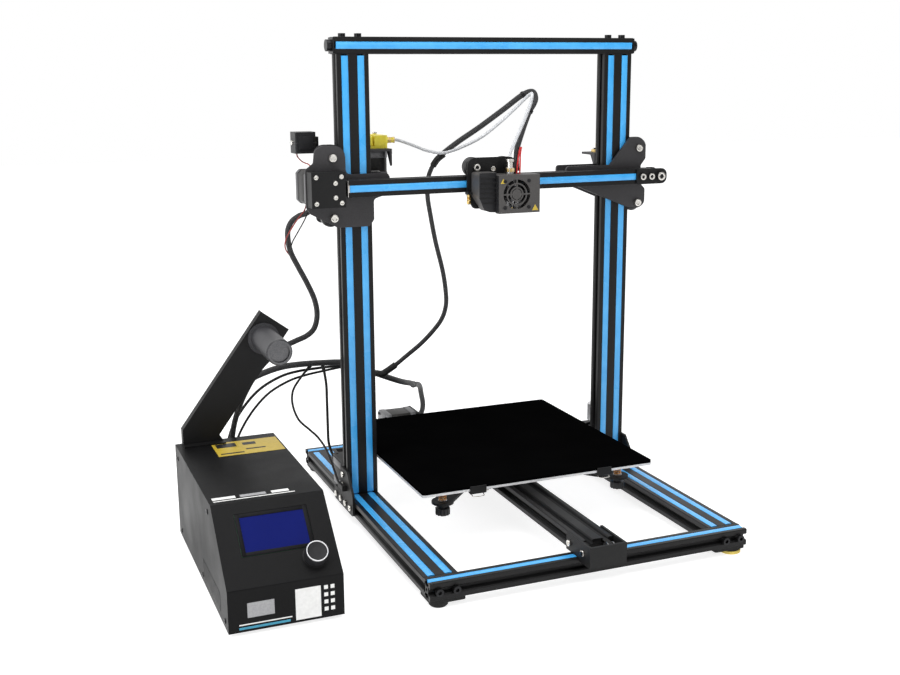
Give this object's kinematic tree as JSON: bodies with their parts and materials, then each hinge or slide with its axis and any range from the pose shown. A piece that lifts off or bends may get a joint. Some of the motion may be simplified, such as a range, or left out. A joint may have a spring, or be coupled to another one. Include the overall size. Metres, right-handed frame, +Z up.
{
  "type": "fdm printer",
  "caption": "Open-frame filament 3D printer: slotted base and portal, sliding bed, dual-screw gantry with hotend carriage, separate control box with display and spool arm.",
  "frame": {"origin": "centre of the whole printer's footprint on the surface it stands on, control box included, leads left out", "axes": "+Z up, +Y towards the back of the printer, +X to the printer's right as seen from the front"},
  "size_m": [0.651, 0.6118, 0.6041],
  "materials": {
    "black_anodised": "fine satin black anodised extrusion",
    "blue_trim": "semi-gloss blue slot trim",
    "black_steel": "satin black powder coat on sheet steel",
    "grey_plate": "satin dark grey powder coat",
    "black_screws": "black oxide screws",
    "silver_screws": "bright zinc screws and brass nuts",
    "steel": "ground steel",
    "motor": "stepper body, black laminations between alloy ends",
    "rubber_foot": "soft black rubber",
    "belt": "matt black toothed belt",
    "wheel": "black moulded wheel",
    "bed_alloy": "bare rolled alloy",
    "bed_glass": "black coated glass",
    "spring": "copper-coloured springs",
    "box_shell": "fine-textured black powder coat",
    "display": "blue display with green board",
    "knob": "black knob with bright rim",
    "shroud": "satin grey folded sheet",
    "hotend_metal": "turned alloy",
    "fan": "black moulded fan",
    "extruder": "yellow moulded block",
    "brass": "turned brass",
    "sensor": "black moulded case",
    "tube": "translucent white guide tube",
    "sleeve": "black braided cable sleeve"
  },
  "bodies": {
    "root": {"base_rails": "black_anodised", "portal_rails": "black_anodised", "slot_covers": "blue_trim", "frame_fixings": "black_screws", "corner_feet": "rubber_foot", "motor_brackets": "black_steel", "frame_motors": "motor", "y_belt": "belt", "control_box_base": "box_shell", "control_box_cover": "box_shell", "control_electronics": "display", "spool_arm": "black_steel", "spool_peg": "black_steel", "trunk_loom": "sleeve", "gantry_loom": "sleeve", "riser_loom": "sleeve"},
    "y_carriage": {"y_plate": "black_steel", "heated_bed": "bed_alloy", "build_plate": "bed_glass", "bed_fixings": "spring"},
    "z_gantry": {"x_rail": "black_anodised", "gantry_plates": "grey_plate", "gantry_motors": "motor", "gantry_fixings": "silver_screws", "rail_end_parts": "black_steel", "extruder_body": "extruder", "filament_sensor": "sensor", "x_belt": "belt", "bowden_tube": "tube", "hotend_loom": "sleeve"},
    "x_carriage": {"carriage_plate": "black_steel", "hotend_shroud": "shroud", "hotend": "hotend_metal"},
    "y_wheel_front_left": {"y_wheel_front_left": "wheel"},
    "y_wheel_front_right": {"y_wheel_front_right": "wheel"},
    "y_wheel_rear_left": {"y_wheel_rear_left": "wheel"},
    "y_wheel_rear_right": {"y_wheel_rear_right": "wheel"},
    "z_wheel_left_upper": {"z_wheel_left_upper": "wheel"},
    "z_wheel_left_lower": {"z_wheel_left_lower": "wheel"},
    "z_wheel_left_inner": {"z_wheel_left_inner": "wheel"},
    "z_wheel_right_upper": {"z_wheel_right_upper": "wheel"},
    "z_wheel_right_lower": {"z_wheel_right_lower": "wheel"},
    "z_wheel_right_inner": {"z_wheel_right_inner": "wheel"},
    "x_wheel_upper_left": {"x_wheel_upper_left": "wheel"},
    "x_wheel_upper_right": {"x_wheel_upper_right": "wheel"},
    "x_wheel_lower": {"x_wheel_lower": "wheel"},
    "x_drive_pulley": {"x_drive_pulley": "steel"},
    "x_idler_pulley": {"x_idler_pulley": "steel"},
    "y_drive_pulley": {"y_drive_pulley": "steel"},
    "y_idler_pulley": {"y_idler_pulley": "steel"},
    "lead_screw_left": {"lead_screw_left": "steel"},
    "lead_screw_right": {"lead_screw_right": "steel"},
    "control_knob": {"control_knob": "knob"},
    "fan_rotor": {"fan_rotor": "fan"},
    "extruder_gear": {"extruder_gear": "brass"},
    "extruder_lever": {"extruder_lever": "extruder"},
    "level_wheel_front_left": {"level_wheel_front_left": "wheel"},
    "level_wheel_front_right": {"level_wheel_front_right": "wheel"},
    "level_wheel_rear_left": {"level_wheel_rear_left": "wheel"},
    "level_wheel_rear_right": {"level_wheel_rear_right": "wheel"}
  },
  "joints": [
    {"name": "y_slide", "type": "slide", "parent": "root", "child": "y_carriage", "axis": [0, 1, 0], "range_m": [-0.195, 0.105]},
    {"name": "z_slide", "type": "slide", "parent": "root", "child": "z_gantry", "axis": [0, 0, 1], "range_m": [-0.308, 0.1], "deforming": ["gantry_loom", "riser_loom"]},
    {"name": "x_slide", "type": "slide", "parent": "z_gantry", "child": "x_carriage", "axis": [1, 0, 0], "range_m": [-0.15, 0.15], "deforming": ["bowden_tube", "hotend_loom"]},
    {"name": "y_wheel_front_left_spin", "type": "hinge", "parent": "y_carriage", "child": "y_wheel_front_left", "pos_m": [0.05405, -0.025, 0.04], "axis": [0, 0, 1], "continuous": true},
    {"name": "y_wheel_front_right_spin", "type": "hinge", "parent": "y_carriage", "child": "y_wheel_front_right", "pos_m": [0.11495, -0.025, 0.04], "axis": [0, 0, 1], "continuous": true},
    {"name": "y_wheel_rear_left_spin", "type": "hinge", "parent": "y_carriage", "child": "y_wheel_rear_left", "pos_m": [0.05405, 0.085, 0.04], "axis": [0, 0, 1], "continuous": true},
    {"name": "y_wheel_rear_right_spin", "type": "hinge", "parent": "y_carriage", "child": "y_wheel_rear_right", "pos_m": [0.11495, 0.085, 0.04], "axis": [0, 0, 1], "continuous": true},
    {"name": "z_wheel_left_upper_spin", "type": "hinge", "parent": "z_gantry", "child": "z_wheel_left_upper", "pos_m": [-0.12595, 0.036, 0.459], "axis": [0, 1, 0], "continuous": true},
    {"name": "z_wheel_left_lower_spin", "type": "hinge", "parent": "z_gantry", "child": "z_wheel_left_lower", "pos_m": [-0.12595, 0.036, 0.387], "axis": [0, 1, 0], "continuous": true},
    {"name": "z_wheel_left_inner_spin", "type": "hinge", "parent": "z_gantry", "child": "z_wheel_left_inner", "pos_m": [-0.06505, 0.036, 0.423], "axis": [0, 1, 0], "continuous": true},
    {"name": "z_wheel_right_upper_spin", "type": "hinge", "parent": "z_gantry", "child": "z_wheel_right_upper", "pos_m": [0.29495, 0.036, 0.459], "axis": [0, 1, 0], "continuous": true},
    {"name": "z_wheel_right_lower_spin", "type": "hinge", "parent": "z_gantry", "child": "z_wheel_right_lower", "pos_m": [0.29495, 0.036, 0.387], "axis": [0, 1, 0], "continuous": true},
    {"name": "z_wheel_right_inner_spin", "type": "hinge", "parent": "z_gantry", "child": "z_wheel_right_inner", "pos_m": [0.23405, 0.036, 0.423], "axis": [0, 1, 0], "continuous": true},
    {"name": "x_wheel_upper_left_spin", "type": "hinge", "parent": "x_carriage", "child": "x_wheel_upper_left", "pos_m": [0.0505, 0.0105, 0.44345], "axis": [0, 1, 0], "continuous": true},
    {"name": "x_wheel_upper_right_spin", "type": "hinge", "parent": "x_carriage", "child": "x_wheel_upper_right", "pos_m": [0.0925, 0.0105, 0.44345], "axis": [0, 1, 0], "continuous": true},
    {"name": "x_wheel_lower_spin", "type": "hinge", "parent": "x_carriage", "child": "x_wheel_lower", "pos_m": [0.0715, 0.0105, 0.40255], "axis": [0, 1, 0], "continuous": true},
    {"name": "x_drive_pulley_spin", "type": "hinge", "parent": "z_gantry", "child": "x_drive_pulley", "pos_m": [-0.1375, 0.0105, 0.423], "axis": [0, 1, 0], "continuous": true},
    {"name": "x_idler_pulley_spin", "type": "hinge", "parent": "z_gantry", "child": "x_idler_pulley", "pos_m": [0.3155, 0.0105, 0.423], "axis": [0, 1, 0], "continuous": true},
    {"name": "y_drive_pulley_spin", "type": "hinge", "parent": "root", "child": "y_drive_pulley", "pos_m": [0.0945, 0.268, 0.04], "axis": [1, 0, 0], "continuous": true},
    {"name": "y_idler_pulley_spin", "type": "hinge", "parent": "root", "child": "y_idler_pulley", "pos_m": [0.0945, -0.274, 0.04], "axis": [1, 0, 0], "continuous": true},
    {"name": "lead_screw_left_spin", "type": "hinge", "parent": "root", "child": "lead_screw_left", "pos_m": [-0.0955, 0.071, 0.3], "axis": [0, 0, 1], "continuous": true},
    {"name": "lead_screw_right_spin", "type": "hinge", "parent": "root", "child": "lead_screw_right", "pos_m": [0.2645, 0.071, 0.3], "axis": [0, 0, 1], "continuous": true},
    {"name": "knob_turn", "type": "hinge", "parent": "root", "child": "control_knob", "pos_m": [-0.2285, -0.22674, 0.06667], "axis": [0, -0.6947, 0.7193], "continuous": true},
    {"name": "fan_spin", "type": "hinge", "parent": "x_carriage", "child": "fan_rotor", "pos_m": [0.0885, -0.039, 0.412], "axis": [0, 1, 0], "continuous": true},
    {"name": "extruder_gear_spin", "type": "hinge", "parent": "z_gantry", "child": "extruder_gear", "pos_m": [-0.0605, 0.086, 0.475], "axis": [0, 0, 1], "continuous": true},
    {"name": "extruder_lever_swing", "type": "hinge", "parent": "z_gantry", "child": "extruder_lever", "pos_m": [-0.076, 0.0705, 0.475], "axis": [0, 0, 1], "range_deg": [-9, 0], "stiffness_Nm_per_rad": 0.5, "springref_deg": 11.46},
    {"name": "level_wheel_front_left_turn", "type": "hinge", "parent": "y_carriage", "child": "level_wheel_front_left", "pos_m": [-0.0355, -0.1, 0.042], "axis": [0, 0, 1], "continuous": true},
    {"name": "level_wheel_front_right_turn", "type": "hinge", "parent": "y_carriage", "child": "level_wheel_front_right", "pos_m": [0.2045, -0.1, 0.042], "axis": [0, 0, 1], "continuous": true},
    {"name": "level_wheel_rear_left_turn", "type": "hinge", "parent": "y_carriage", "child": "level_wheel_rear_left", "pos_m": [-0.0355, 0.16, 0.042], "axis": [0, 0, 1], "continuous": true},
    {"name": "level_wheel_rear_right_turn", "type": "hinge", "parent": "y_carriage", "child": "level_wheel_rear_right", "pos_m": [0.2045, 0.16, 0.042], "axis": [0, 0, 1], "continuous": true}
  ],
  "couplings": [
    {"joint": "y_wheel_front_left_spin", "follows": "y_slide", "rad_per_m": -95.694},
    {"joint": "y_wheel_front_right_spin", "follows": "y_slide", "rad_per_m": 95.694},
    {"joint": "y_wheel_rear_left_spin", "follows": "y_slide", "rad_per_m": -95.694},
    {"joint": "y_wheel_rear_right_spin", "follows": "y_slide", "rad_per_m": 95.694},
    {"joint": "z_wheel_left_upper_spin", "follows": "z_slide", "rad_per_m": 95.694},
    {"joint": "z_wheel_left_lower_spin", "follows": "z_slide", "rad_per_m": 95.694},
    {"joint": "z_wheel_left_inner_spin", "follows": "z_slide", "rad_per_m": -95.694},
    {"joint": "z_wheel_right_upper_spin", "follows": "z_slide", "rad_per_m": -95.694},
    {"joint": "z_wheel_right_lower_spin", "follows": "z_slide", "rad_per_m": -95.694},
    {"joint": "z_wheel_right_inner_spin", "follows": "z_slide", "rad_per_m": 95.694},
    {"joint": "x_wheel_upper_left_spin", "follows": "x_slide", "rad_per_m": 95.694},
    {"joint": "x_wheel_upper_right_spin", "follows": "x_slide", "rad_per_m": 95.694},
    {"joint": "x_wheel_lower_spin", "follows": "x_slide", "rad_per_m": -95.694},
    {"joint": "x_drive_pulley_spin", "follows": "x_slide", "rad_per_m": 157.09},
    {"joint": "x_idler_pulley_spin", "follows": "x_slide", "rad_per_m": 157.09},
    {"joint": "y_drive_pulley_spin", "follows": "y_slide", "rad_per_m": -157.09},
    {"joint": "y_idler_pulley_spin", "follows": "y_slide", "rad_per_m": -157.09},
    {"joint": "lead_screw_left_spin", "follows": "z_slide", "rad_per_m": -785.4},
    {"joint": "lead_screw_right_spin", "follows": "z_slide", "rad_per_m": -785.4}
  ]
}
